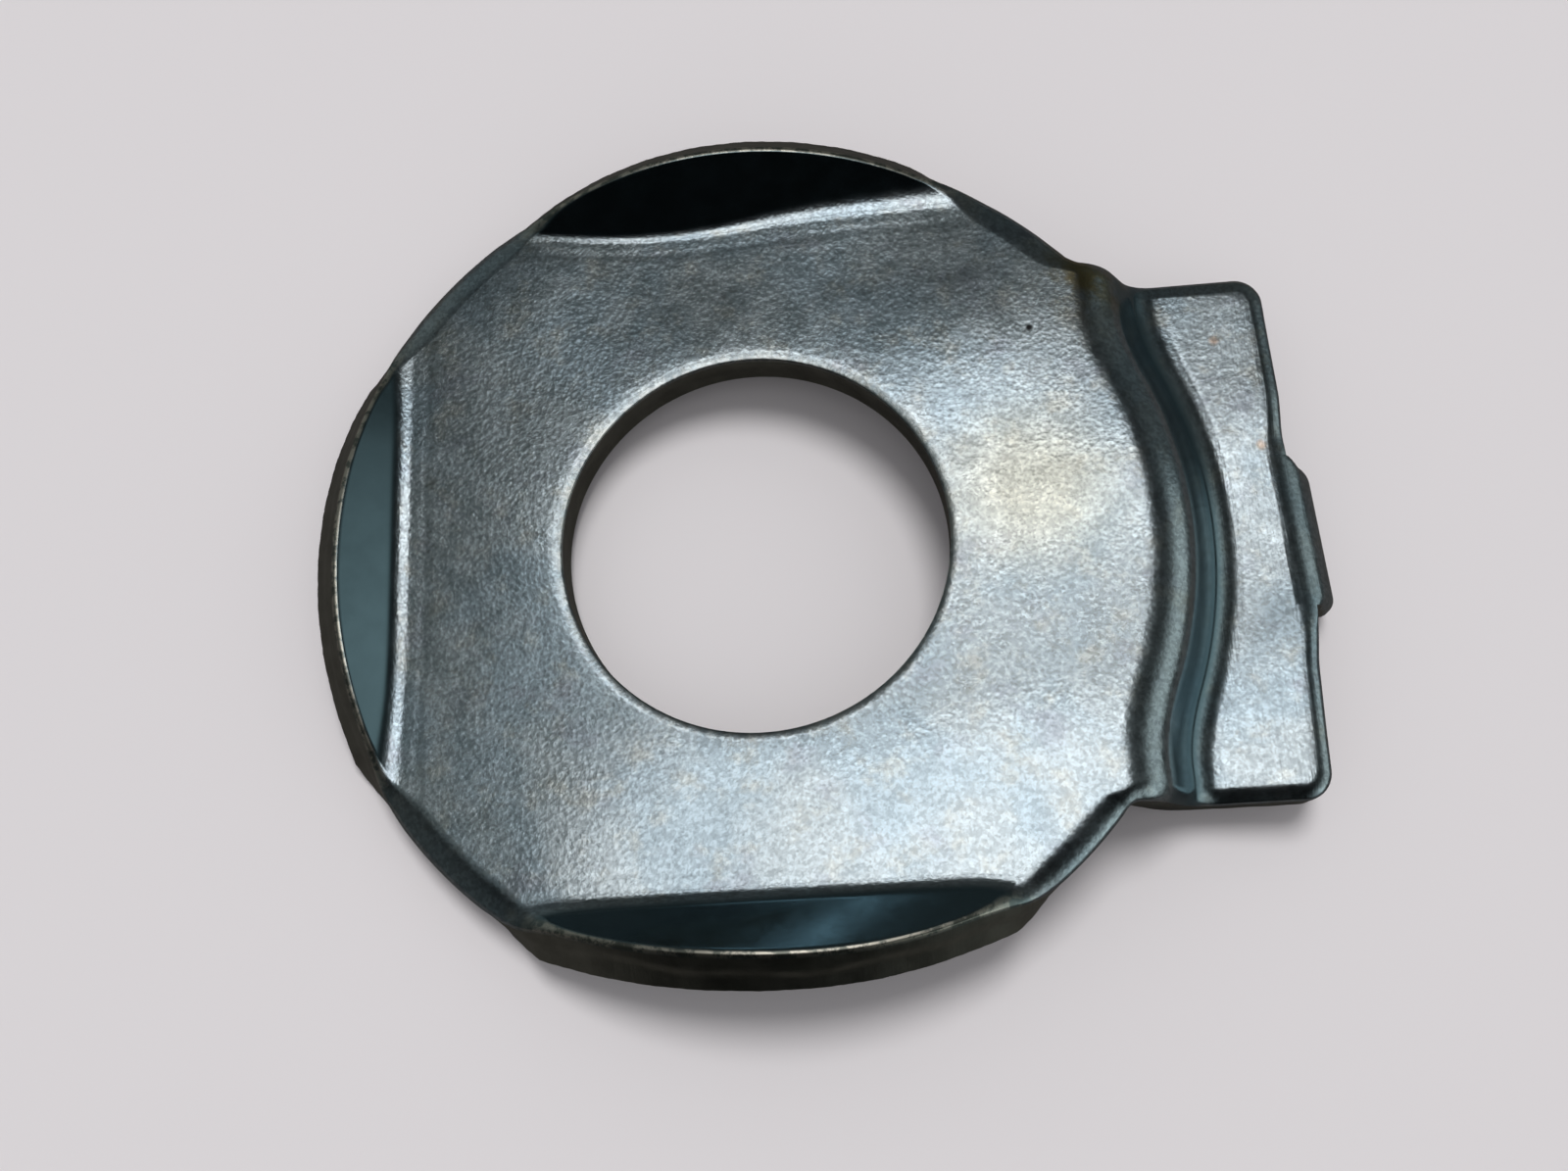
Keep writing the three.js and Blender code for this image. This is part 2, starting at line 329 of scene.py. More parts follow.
def joggle_profile(run):
    """Drop and slope of the joggle's top face at a level distance from its upper edge."""
    upper = np.arcsin(np.clip(run / UPPER_BEND, 0.0, math.sin(JOGGLE_ANGLE)))
    lower = np.arcsin(np.clip((JOGGLE_RUN - run) / LOWER_BEND, 0.0, math.sin(JOGGLE_ANGLE)))
    on_upper, on_wall = run < UPPER_RUN, run < UPPER_RUN + WALL_RUN
    wall_drop = UPPER_DROP + (run - UPPER_RUN) * math.tan(JOGGLE_ANGLE)
    drop = np.where(on_wall, wall_drop, TAB_DROP - LOWER_BEND * (1.0 - np.cos(lower)))
    drop = np.where(on_upper, UPPER_BEND * (1.0 - np.cos(upper)), drop)
    slope = np.where(on_upper, upper, np.where(on_wall, JOGGLE_ANGLE, lower))
    return drop, slope


def joggle_reach(x, y):
    """How far a point lies beyond the joggle's upper edge, and the outward direction there."""
    radius = np.hypot(x, y)
    past_arc, past_line = radius - JOGGLE_ARC, x - JOGGLE_LINE
    share = np.clip(0.5 + (past_line - past_arc) / (2.0 * JOGGLE_BLEND), 0.0, 1.0)
    reach = past_line + (past_arc - past_line) * share - JOGGLE_BLEND * share * (1.0 - share)
    out_x, out_y = 1.0 - share + share * x / radius, share * y / radius
    size = np.hypot(out_x, out_y)
    return reach, out_x / size, out_y / size


def fold_bow(side, along):
    """How far each fold wanders outward from its straight line, at a place along it."""
    sag = np.exp(-(((along - FAR_FOLD_SAG_PLACE) / FAR_FOLD_SAG_WIDTH) ** 2))
    far = -FAR_FOLD_SAG * sag + FOLD_END_DRIFT * smooth_step(9.0, 17.0, -along)
    left = FOLD_END_DRIFT * smooth_step(5.0, 17.0, -along)
    ahead, behind = (smooth_step(12.0, 17.5, way) for way in (along, -along))
    near = NEAR_FOLD_END_DRIFT[0] * ahead + NEAR_FOLD_END_DRIFT[1] * behind
    return np.choose(side, [far, left, near])


def lip_reach(x, y):
    """How far a point lies beyond the nearest fold, the outward direction, the side of the disc it is
    on and its place along the fold."""
    across = np.abs(y) > -x
    side = np.where(across, np.where(y > 0.0, 0, 2), 1)
    along = np.where(across, x, y)
    out_x, out_y = np.where(across, 0.0, -1.0), np.where(across, np.sign(y), 0.0)
    reach = np.where(across, np.abs(y), -x) - FOLD_DISTANCE[side] - fold_bow(side, along)
    return reach, out_x, out_y, side, along


def lip_angle(side, along):
    """Angle that each rim segment is folded up to. The -Y one lies lower towards the tab."""
    ease = np.where(side == 2, NEAR_LIP_EASE, 0.0)
    return LIP_ANGLE[side] - ease * smooth_step(-4.0, 10.0, along)


def bend_radius(side, along):
    """Inner radius of a fold, which opens towards one end on the +Y side and both ends elsewhere."""
    share = along / FOLD_HALF_LENGTH
    one_end, both_ends = smooth_step(-0.6, 0.9, share), smooth_step(0.45, 1.0, np.abs(share))
    return LIP_INNER_RADIUS[side] + FOLD_END_FLARE[side] * np.where(side == 0, one_end, both_ends)


def bend_arc(side, along):
    """Length of blank that each fold's bend takes up."""
    return (bend_radius(side, along) + NEUTRAL_FIBRE * SHEET) * lip_angle(side, along)


def ripples():
    """Random ripples, each as its pace along x and y, and its phase."""
    turn = RANDOM.uniform(0.0, 2.0 * math.pi, RIPPLES)
    pace = 2.0 * math.pi / RANDOM.uniform(*RIPPLE_LENGTHS, RIPPLES)
    phase = RANDOM.uniform(0.0, 2.0 * math.pi, RIPPLES)
    return np.cos(turn) * pace, np.sin(turn) * pace, phase


SHEET_RIPPLES = ripples()


def unevenness(x, y):
    """Height of the sheet's slow unevenness."""
    pace_x, pace_y, phase = SHEET_RIPPLES
    return RIPPLE_HEIGHT * np.sin(x[..., None] * pace_x + y[..., None] * pace_y + phase).sum(-1)


def press(x, y, depth):
    """Moves points of the blank to their places on the pressed plate."""
    towards_tab = x > np.abs(y)
    reach, out_x, out_y = joggle_reach(x, y)
    drop, slope = joggle_profile(np.maximum(reach, 0.0))
    joggle_shift, joggle_height = -depth * np.sin(slope), -drop - depth * np.cos(slope)
    from_fold, fold_x, fold_y, side, along = lip_reach(x, y)
    inner, angle, bend_length = bend_radius(side, along), lip_angle(side, along), bend_arc(side, along)
    fold = np.maximum(from_fold, 0.0)
    bent = np.minimum(fold / bend_length, 1.0) * angle
    straight = np.maximum(fold - bend_length, 0.0)
    radius = inner + depth
    lip_shift = radius * np.sin(bent) + straight * np.cos(angle) - fold
    lip_height = inner - radius * np.cos(bent) + straight * np.sin(angle)
    flat = np.where(towards_tab, reach, fold) <= 0.0
    shift = np.where(flat, 0.0, np.where(towards_tab, joggle_shift, lip_shift))
    height = np.where(flat, -depth, np.where(towards_tab, joggle_height, lip_height))
    way_x, way_y = np.where(towards_tab, out_x, fold_x), np.where(towards_tab, out_y, fold_y)
    tab_line = pressed_line(reach - JOGGLE_RUN, *TAB_LINE)
    fold_line = pressed_line(from_fold, *FOLD_LINE)
    lines = np.where(towards_tab, tab_line, fold_line)
    marks = lines * (depth < SHEET / 2)
    height = height + unevenness(x, y) - marks
    return np.stack([x + way_x * shift, y + way_y * shift, height], -1)


def pressed_line(place, middle, half_width, depth):
    """Depth of a faint line that the punch leaves, at a place across it."""
    return depth * np.exp(-(((place - middle) / half_width) ** 2))


# ---- The sheet --------------------------------------------------------------------------------------


def fold_rings(direction, limit):
    """Radii of the rings that follow the folds and the joggle along each ray, held inside its limit."""
    ahead = direction[:, 0]
    towards_tab = ahead > np.abs(direction[:, 1])
    cosine = np.where(towards_tab, ahead, np.maximum(-ahead, np.abs(direction[:, 1])))
    first, last = FOLD_RING_SPAN
    lip = np.linspace(FOLD_DISTANCE.min() + first, FOLD_DISTANCE.max() + last, FOLD_RINGS)
    upper = UPPER_BEND * np.sin(np.linspace(0.0, JOGGLE_ANGLE, UPPER_BEND_RINGS))
    lower = JOGGLE_RUN - LOWER_BEND * np.sin(np.linspace(JOGGLE_ANGLE, 0.0, LOWER_BEND_RINGS))
    left_over = FOLD_RINGS - len(RINGS_BEFORE_JOGGLE) - UPPER_BEND_RINGS - LOWER_BEND_RINGS
    after = JOGGLE_RUN + np.linspace(0.0, RINGS_AFTER_JOGGLE, left_over + 1)[1:]
    joggle = np.concatenate([RINGS_BEFORE_JOGGLE, upper, lower, after])
    on_lip = lip[None, :] / cosine[:, None]
    on_line = (JOGGLE_LINE + joggle)[None, :] / cosine[:, None]
    on_tab = np.maximum(on_line, JOGGLE_ARC + joggle[None, :])
    rings = np.where(towards_tab[:, None], on_tab, on_lip)
    gaps = RING_GAP * np.arange(len(lip), 0, -1)
    return np.minimum(rings, limit[:, None] - gaps[None, :])


def between(start, end, count):
    """count radii per ray, evenly spaced between two others and at neither."""
    share = np.arange(1, count + 1) / (count + 1)
    return start[:, None] + (end - start)[:, None] * share


def sheet_sections():
    """Every ray's closed section through the blank, as x and y and as depth, with what blank_rays says of
    each ray, and the last rings of the top face and of the outer wall and the first one of the hole's wall.

    The rings start at the hole's wall and run out over the top face, down the outer wall and back under."""
    edge, inner, normal, roll_depth, root, beside_tooth, lip = blank_rays()
    reach = np.linalg.norm(inner, axis=1)
    direction = inner / reach[:, None]
    folds = fold_rings(direction, reach - TOP_FACE_MARGIN)
    rays = len(edge)
    parts = []

    def ring(radii, depth):
        radii = np.broadcast_to(np.asarray(radii, float), (rays,))
        parts.append((direction * radii[:, None], np.broadcast_to(depth, (rays,)).astype(float)))

    roll_width, roll_fall = HOLE_ROLL
    for angle in np.linspace(math.pi / 2, 0.0, HOLE_RINGS):
        share = math.sin(angle)
        ring(HOLE_RADIUS + roll_width * (1.0 - share), roll_fall * roll_profile(share))
    start = np.full(rays, HOLE_RADIUS + roll_width)
    for radii in between(start, folds[:, 0], FLAT_RINGS).T:
        ring(radii, 0.0)
    for radii in folds.T:
        ring(radii, 0.0)
    for radii in between(folds[:, -1], reach, OUTER_RINGS).T:
        ring(radii, 0.0)
    for angle in np.linspace(0.0, math.pi / 2, ROLL_RINGS):
        share = math.sin(angle)
        place = inner + (edge - inner) * share
        rolled = roll_depth * roll_profile(share)
        parts.append((place, rolled + (tooth_fall(place[:, 0]) - rolled) * beside_tooth))
    top_end = len(parts) - 1
    edge_depth = parts[-1][1]
    for share in np.linspace(0.0, 1.0, WALL_RINGS)[1:]:
        depth = edge_depth + (SHEET - BOTTOM_BREAK - edge_depth) * share
        parts.append((edge - normal * wall_recess(edge, share)[:, None], depth))
    wall_end = len(parts)
    broken = edge - normal * (wall_recess(edge, 1.0) + BOTTOM_BREAK)[:, None]
    parts.append((np.where(root[:, None], edge, broken), np.full(rays, SHEET)))
    parts.append(((broken + inner) / 2.0, np.full(rays, SHEET)))
    ring(reach, SHEET)
    for radii in between(folds[:, -1], reach, UNDERSIDE_OUTER_RINGS).T[::-1]:
        ring(radii, SHEET)
    for radii in folds.T[::-2]:
        ring(radii, SHEET)
    for radii in between(start, folds[:, 0], UNDERSIDE_RINGS).T[::-1]:
        ring(radii, SHEET)
    ring(HOLE_RADIUS + BOTTOM_BREAK, SHEET)
    ring(HOLE_RADIUS, SHEET - BOTTOM_BREAK)
    hole_wall = len(parts) - 1
    for share in np.linspace(1.0, 0.0, HOLE_WALL_RINGS)[1:-1]:
        depth = roll_fall + (SHEET - BOTTOM_BREAK - roll_fall) * share
        ring(HOLE_RADIUS + HOLE_TORN_RECESS * smooth_step(0.4, 0.6, share), depth)
    flat = np.stack([p[0] for p in parts], 1)
    depth = np.stack([p[1] for p in parts], 1)
    return flat, depth, root, lip, (top_end, wall_end, hole_wall)


def roll_profile(share):
    """Drop of a rolled edge across its width: a long fall that ends in a small round corner."""
    return 0.72 * share**1.7 + 0.28 * (1.0 - math.sqrt(max(0.0, 1.0 - share**8)))


def wall_recess(edge, share):
    """How far the sheared wall stands back: a smooth cut above, a torn and slightly deeper one below."""
    around = np.arctan2(edge[:, 1], edge[:, 0])
    ragged = 0.07 * np.sin(9.0 * around) + 0.05 * np.sin(23.0 * around + 1.0)
    torn = smooth_step(0.38, 0.55, share + ragged)
    return torn * (TORN_RECESS + TORN_VARIATION * np.sin(61.0 * around + 2.0) * np.sin(113.0 * around))


# ---- The tooth --------------------------------------------------------------------------------------


def tooth_place(across, depth, run):
    """A point of the tooth, given by its place across, its depth and its distance along the outside."""
    outer = TOOTH_OUTER_RADIUS
    quarter = outer * math.pi / 2
    angle = min(run / quarter, 1.0) * math.pi / 2
    leg = max(run - quarter, 0.0)
    arm = outer - depth
    x = TOOTH_ROOT + arm * math.sin(angle)
    z = -TAB_DROP - outer + arm * math.cos(angle) - leg
    return np.stack([x, across, z], -1)


def rounded(across, depth, growth):
    """Pulls the outside corners of the tooth's section onto arcs, the one on its +Y side a large one.
    growth is the share of their full size that they have."""
    size = np.where(across > 0.0, TOOTH_FAR_CORNER, TOOTH_CORNER) * growth + SMALLEST_CORNER
    centre_across, centre_depth = TOOTH_HALF_WIDTH - size, size
    over_across, over_depth = np.abs(across) - centre_across, centre_depth - depth
    corner = (over_across > 0.0) & (over_depth > 0.0)
    length = np.maximum(np.hypot(over_across, over_depth), TINY)
    new_across = np.sign(across) * (centre_across + over_across / length * size)
    new_depth = centre_depth - over_depth / length * size
    return np.where(corner, new_across, across), np.where(corner, new_depth, depth)


def askew(places):
    """Moves the tooth slightly out of square and off the middle, and takes the sheet beside it along."""
    x, y = places[:, 0], places[:, 1]
    near = smooth_step(TOOTH_ROOT - 2.7, TOOTH_ROOT, x)
    near *= smooth_step(TOOTH_HALF_WIDTH + TOOTH_REACH, TOOTH_HALF_WIDTH, np.abs(y))
    moved = places.copy()
    moved[:, 0] -= TOOTH_SKEW * y / TOOTH_HALF_WIDTH * near
    moved[:, 1] -= TOOTH_SHIFT * near
    return moved


# ---- Putting the mesh together ----------------------------------------------------------------------


class PlateMesh:
    """Collects faces, and vertices with what the material has to know of each: its point of the blank, and
    how far it is sheared, ironed by a die and given a darker painted shade, or on a worn rim that also
    gets a painted highlight."""

    def __init__(self):
        self.places, self.blank, self.sheared, self.smooth, self.rim = [], [], [], [], []
        self.faces = []
        self.count = 0

    def add(self, places, blank, sheared, smooth, rim):
        first = self.count
        size = len(places)
        self.places.append(places)
        self.blank.append(blank)
        for store, values in ((self.sheared, sheared), (self.smooth, smooth), (self.rim, rim)):
            store.append(np.broadcast_to(values, (size,)).astype(float))
        self.count += size
        return np.arange(first, first + size)


def build_sheet(mesh):
    flat, depth, root, lip, (top_end, wall_end, hole_wall) = sheet_sections()
    rays, rings = depth.shape
    x, y = flat[..., 0], flat[..., 1]
    places = press(x, y, depth)
    index = np.arange(rings)[None, :]
    sheared = ((index > top_end) & (index <= wall_end)) | (index >= hole_wall)
    rolled = (index > top_end - ROLL_RINGS) & (index <= top_end)
    roll_share = np.clip((index - top_end + ROLL_RINGS - 1) / (ROLL_RINGS - 1.0), 0.0, 1.0)
    # Rim mask: wear and a painted highlight on the lips' rolled edges, and fading inward from the hole's
    # edge
    rim = np.where(rolled, smooth_step(0.05, 0.35, roll_share), 0.0) * lip[:, None]
    rim = np.where(index < HOLE_RINGS, HOLE_WEAR_AND_HIGHLIGHT * (1.0 - index / HOLE_RINGS), rim)
    towards_tab = x > np.abs(y)
    past_joggle = joggle_reach(x, y)[0]
    past_fold, _, _, side, along = lip_reach(x, y)
    # Ironed faces of the folds and the joggle: less grain, and a darker painted shade in the material
    on_joggle = smooth_step(2.9, 3.7, past_joggle)
    on_joggle *= smooth_step(JOGGLE_RUN - 0.6, JOGGLE_RUN - 1.6, past_joggle)
    on_lip = smooth_step(0.5, 0.85, past_fold / bend_arc(side, along))
    smooth = np.where(towards_tab, on_joggle, on_lip)
    blank = np.stack([x, y, depth], -1)
    ids = mesh.add(
        places.reshape(-1, 3),
        blank.reshape(-1, 3),
        (sheared * np.ones((rays, 1))).ravel(),
        smooth.ravel(),
        rim.ravel(),
    ).reshape(rays, rings)
    for ray in range(rays):
        following = (ray + 1) % rays
        open_root = root[ray] and root[following]
        for step in range(rings):
            if open_root and top_end <= step < wall_end:
                continue
            after = (step + 1) % rings
            here, there = ids[ray], ids[following]
            mesh.faces.append((here[step], here[after], there[after], there[step]))
    return ids, root, top_end, wall_end


def build_tooth(mesh, ids, root, top_end, wall_end):
    """Sweeps the open section at the tooth's root round the bend and down to the tip."""
    half = ROOT_RAYS
    rays = len(root)
    row = [ray % rays for ray in range(-half, half + 1)]
    top = [ids[ray, top_end] for ray in row]
    far_side = [ids[row[-1], ring] for ring in range(top_end + 1, wall_end)]
    bottom = [ids[ray, wall_end] for ray in reversed(row)]
    near_side = [ids[row[0], ring] for ring in range(wall_end - 1, top_end, -1)]
    loop = np.array(top + far_side + bottom + near_side)
    blank = np.concatenate(mesh.blank)[loop]
    across, depth = blank[:, 1], blank[:, 2]
    quarter = TOOTH_OUTER_RADIUS * math.pi / 2
    leg = TOOTH_BELOW_TAB - TOOTH_INNER_RADIUS
    round_bend = np.linspace(0.0, quarter, TOOTH_BEND_RINGS)[1:]
    down_leg = quarter + np.linspace(0.0, leg - TOOTH_CORNER, TOOTH_LEG_RINGS)[1:]
    runs = [*round_bend, *down_leg]
    previous = loop
    side = ((np.abs(across) > TOOTH_HALF_WIDTH - TINY) & (depth > EDGE_MARGIN)).astype(float)

    def strip(following):
        for k in range(len(loop)):
            after = (k + 1) % len(loop)
            mesh.faces.append((previous[k], following[k], following[after], previous[after]))

    for run in runs:
        new_across, new_depth = rounded(across, depth, smooth_step(*TOOTH_CORNER_GROWTH, run))
        places = tooth_place(new_across, new_depth, run)
        told = np.stack([np.full(len(loop), TOOTH_ROOT + run), new_across, new_depth], -1)
        on_side = side * (np.abs(new_across) > TOOTH_HALF_WIDTH - EDGE_MARGIN)
        following = mesh.add(places, told, on_side, 0.1, 0.0)
        strip(following)
        previous = following
    for angle in np.linspace(0.0, math.pi / 2, TOOTH_TIP_RINGS)[1:]:
        inset = TOOTH_CORNER * (1.0 - math.cos(angle))
        reach = runs[-1] + TOOTH_CORNER * math.sin(angle)
        new_across, new_depth = rounded(across, depth, 1.0)
        new_across = new_across * (1.0 - inset / TOOTH_HALF_WIDTH)
        new_depth = SHEET / 2 + (new_depth - SHEET / 2) * (1.0 - inset / (SHEET / 2))
        places = tooth_place(new_across, new_depth, reach)
        told = np.stack([np.full(len(loop), TOOTH_ROOT + reach), new_across, new_depth], -1)
        following = mesh.add(places, told, 1.0, 0.3, 0.0)
        strip(following)
        previous = following
    cap_tooth(mesh, previous, len(top), len(far_side))


def cap_tooth(mesh, loop, width, height):
    """Closes the tip with a grid between its outer and inner edges."""
    outer = loop[:width]
    inner = loop[width + height : 2 * width + height][::-1]
    places, blank = np.concatenate(mesh.places), np.concatenate(mesh.blank)
    columns = np.zeros((width, height + 2), int)
    columns[:, 0], columns[:, -1] = outer, inner
    columns[-1, 1:-1] = loop[width : width + height]
    columns[0, 1:-1] = loop[2 * width + height :][::-1]
    share = (np.arange(1, height + 1) / (height + 1))[:, None]
    for k in range(1, width - 1):
        place = places[outer[k]] * (1.0 - share) + places[inner[k]] * share
        told = blank[outer[k]] * (1.0 - share) + blank[inner[k]] * share
        columns[k, 1:-1] = mesh.add(place, told, 1.0, 0.3, 0.0)
    for k in range(width - 1):
        for step in range(height + 1):
            mesh.faces.append(
                (columns[k, step], columns[k, step + 1], columns[k + 1, step + 1], columns[k + 1, step])
            )


def plate_object():
    mesh = PlateMesh()
    build_tooth(mesh, *build_sheet(mesh))
    hole_centre = np.array(
        [
            PLATE_HIGH.x - TOOTH_FACE * MM,
            (PLATE_LOW.y + PLATE_HIGH.y) / 2,
            PLATE_LOW.z + (TAB_DROP + SHEET + TOOTH_BELOW_TAB) * MM,
        ]
    )
    places = askew(np.concatenate(mesh.places)) * MM + hole_centre
    data = bpy.data.meshes.new("pressed_plate_finished")
    data.from_pydata(places.tolist(), [], [tuple(int(i) for i in face) for face in mesh.faces])
    data.update()
    blank = data.attributes.new("blank", "FLOAT_VECTOR", "POINT")
    blank.data.foreach_set("vector", np.concatenate(mesh.blank).astype(np.float32).ravel())
    for name in ("sheared", "smooth", "rim"):
        attribute = data.attributes.new(name, "FLOAT", "POINT")
        attribute.data.foreach_set("value", np.concatenate(getattr(mesh, name)).astype(np.float32))
    data.shade_smooth()
    data.set_sharp_from_angle(angle=math.radians(32.0))
    plate = bpy.data.objects.new("plate_finish", data)
    bpy.context.scene.collection.objects.link(plate)
    return plate, Vector(hole_centre)


# ---- Material ---------------------------------------------------------------------------------------


def add_node(tree, kind, inputs=None, **settings):
    made = tree.nodes.new(kind)
    for name, value in settings.items():
        setattr(made, name, value)
    for name, value in (inputs or {}).items():
        if isinstance(value, bpy.types.NodeSocket):
            tree.links.new(value, made.inputs[name])
        else:
            made.inputs[name].default_value = value
    return made


def attribute(tree, name):
    return add_node(tree, "ShaderNodeAttribute", attribute_type="GEOMETRY", attribute_name=name)


def noise(tree, vector, scale, detail=2.0, roughness=0.5, distortion=0.0):
    settings = {"Scale": scale, "Detail": detail, "Roughness": roughness, "Distortion": distortion}
    return add_node(tree, "ShaderNodeTexNoise", {"Vector": vector, **settings}).outputs[0]


def ranged(tree, value, low, high, to_low=0.0, to_high=1.0):
    """Maps value from low..high to to_low..to_high, held at both ends."""
    limits = {"Value": value, "From Min": low, "From Max": high, "To Min": to_low, "To Max": to_high}
    return add_node(tree, "ShaderNodeMapRange", limits, interpolation_type="SMOOTHSTEP").outputs[0]


def math_node(tree, operation, first, second):
    return add_node(tree, "ShaderNodeMath", {0: first, 1: second}, operation=operation).outputs[0]


def mixed(tree, share, first, second, blend_type="MIX"):
    """Mixes two colours."""
    inputs = {0: share, 6: first, 7: second}
    return add_node(tree, "ShaderNodeMix", inputs, data_type="RGBA", blend_type=blend_type).outputs[2]


def stretched(tree, vector, scale):
    """The blank's points with each direction scaled, for a grain that is drawn out along one."""
    return add_node(tree, "ShaderNodeVectorMath", {0: vector, 1: scale}, operation="MULTIPLY").outputs[0]


def crystals(tree, vector, scale):
    """A cell pattern: the distance from each point to its cell's middle, and a colour for each cell."""
    cells = add_node(tree, "ShaderNodeTexVoronoi", {"Vector": vector, "Scale": scale, "Randomness": 1.0})
    return cells.outputs["Distance"], cells.outputs["Color"]


def spot(tree, vector, centre, inner, outer):
    """1 within inner of a point of the blank, fading to 0 at outer."""
    measured = add_node(tree, "ShaderNodeVectorMath", {0: vector, 1: centre}, operation="DISTANCE")
    return ranged(tree, measured.outputs["Value"], inner, outer, 1.0, 0.0)


def product(tree, *values):
    """Multiplies any number of values."""
    result = values[0]
    for value in values[1:]:
        result = math_node(tree, "MULTIPLY", result, value)
    return result


def grey_colour(tree, level):
    """A grey of the given level."""
    return add_node(tree, "ShaderNodeCombineColor", {0: level, 1: level, 2: level}).outputs[0]


def zinc_colour(tree, blank, masks):
    """Bluish zinc with pale, warm and dusky clouds, a sandy speckle, a darker painted shade on the ironed
    faces, a stain, worn rims with a painted highlight, rust and a near-black spot.
    """
    cloud = noise(tree, blank, 0.11, 3.0, 0.55, 0.4)
    blotch = noise(tree, blank, 0.42, 4.0, 0.62)
    patch = noise(tree, stretched(tree, blank, (0.8, 1.0, 1.0)), 0.27, 3.0, 0.6)
    cell = add_node(tree, "ShaderNodeSeparateColor", {0: crystals(tree, blank, 4.6)[1]}).outputs[0]
    sand = product(tree, noise(tree, blank, 2.6, 3.0, 0.75), 0.7)
    speckle = math_node(tree, "ADD", sand, product(tree, cell, 0.3))
    colour = mixed(tree, ranged(tree, cloud, 0.38, 0.58), BLUE_ZINC, PALE_ZINC)
    colour = mixed(tree, ranged(tree, blotch, 0.50, 0.72, 0.0, 0.45), colour, WARM_ZINC)
    colour = mixed(tree, ranged(tree, patch, 0.54, 0.72, 0.0, 0.7), colour, DUSKY_ZINC)
    # A brighter, yellowish patch on the disc right of the hole
    yellow = product(tree, spot(tree, blank, *YELLOW_PATCH), 0.75)
    colour = mixed(tree, yellow, colour, YELLOW_TINT)
    level = ranged(tree, speckle, 0.30, 0.70, 0.72, 1.07)
    colour = mixed(tree, 1.0, colour, grey_colour(tree, level), "MULTIPLY")
    # Painted shade: the ironed faces take a darker, bluer copy of the zinc colour for their dark look
    colour = mixed(tree, masks["smooth"], colour, PAINTED_SHADE_IRONED_ZINC)
    stain = product(tree, spot(tree, blank, *STAIN), ranged(tree, blotch, 0.34, 0.6), 0.9)
    colour = mixed(tree, stain, colour, STAIN_COLOUR)
    cut = mixed(tree, ranged(tree, blotch, 0.3, 0.7), DARK_CUT, PALE_CUT)
    colour = mixed(tree, masks["sheared"], colour, cut)
    # Rims: worn, and painted pale cream in broken patches as a painted highlight on the rolled edges
    broken = ranged(tree, noise(tree, blank, 0.9, 4.0, 0.7), 0.42, 0.56)
    wear_and_highlight = mixed(tree, broken, DARK_RIM, BRIGHT_RIM_PAINTED_HIGHLIGHT)
    colour = mixed(tree, masks["rim"], colour, wear_and_highlight)
    for speck in RUST_SPECKS:
        rust = product(tree, spot(tree, blank, *speck), 0.5)
        colour = mixed(tree, rust, colour, RUST_COLOUR)
    # A small near-black spot on the blank
    return mixed(tree, spot(tree, blank, *DARK_SPOT), colour, DARK_SPOT_COLOUR)


def zinc_height(tree, blank, masks):
    """Height of the surface's grain: sandy on the flats, nearly none where a die has ironed it, drawn
    out along the sheet's depth on the cut edges, and fine lines across the tab."""
    dimple = noise(tree, blank, 0.9, 2.0, 0.5)
    grain = crystals(tree, blank, 3.1)[0]
    fine = noise(tree, blank, 5.5, 2.0, 0.7)
    lines = noise(tree, stretched(tree, blank, (6.0, 0.22, 1.0)), 1.0, 2.0, 0.5)
    streak = noise(tree, stretched(tree, blank, (3.0, 3.0, 0.25)), 1.6, 3.0, 0.6)
    along_x = add_node(tree, "ShaderNodeSeparateXYZ", {"Vector": blank}).outputs["X"]
    on_tab = ranged(tree, along_x, 28.6, 29.6)
    sandy = math_node(tree, "ADD", product(tree, fine, 0.55), product(tree, grain, 0.62))
    sandy = product(tree, sandy, math_node(tree, "SUBTRACT", 1.0, product(tree, on_tab, 0.4)))
    sandy = math_node(tree, "ADD", sandy, product(tree, lines, on_tab, 0.8))
    sandy = math_node(tree, "ADD", sandy, product(tree, dimple, 0.9))
    bare = ranged(tree, masks["smooth"], 0.0, 1.0, 1.0, 0.08)
    heights = {0: masks["sheared"], 2: product(tree, sandy, bare), 3: product(tree, streak, 1.6)}
    return add_node(tree, "ShaderNodeMix", heights, data_type="FLOAT").outputs[0]


def zinc_plated_steel():
    """Bright zinc over pressed steel: a sandy grain on the flats, ironed where it was bent and painted a
    darker shade there, with a painted highlight on its worn rims. Its mesh gives it the blank's points, in
    millimetres, and the three masks as attributes."""
    material = bpy.data.materials.new("zinc_plated_steel")
    material.use_nodes = True
    tree = material.node_tree
    shader = tree.nodes["Principled BSDF"]
    shader.inputs["Metallic"].default_value = 1.0
    blank = attribute(tree, "blank").outputs["Vector"]
    masks = {name: attribute(tree, name).outputs["Fac"] for name in ("sheared", "smooth", "rim")}
    tree.links.new(zinc_colour(tree, blank, masks), shader.inputs["Base Color"])
    roughness = ranged(tree, noise(tree, blank, 0.5, 3.0, 0.6), 0.3, 0.7, 0.16, 0.23)
    roughness = math_node(tree, "SUBTRACT", roughness, product(tree, masks["smooth"], 0.04))
    roughness = math_node(tree, "ADD", roughness, product(tree, masks["sheared"], 0.16))
    roughness = math_node(tree, "ADD", roughness, product(tree, masks["rim"], 0.16))
    tree.links.new(roughness, shader.inputs["Roughness"])
    height = zinc_height(tree, blank, masks)
    relief = {"Height": height, "Strength": 1.0, "Distance": GRAIN_HEIGHT * MM}
    bump = add_node(tree, "ShaderNodeBump", relief)
    tree.links.new(bump.outputs[0], shader.inputs["Normal"])
    return material


# ---- Stage, light and camera ------------------------------------------------------------------------


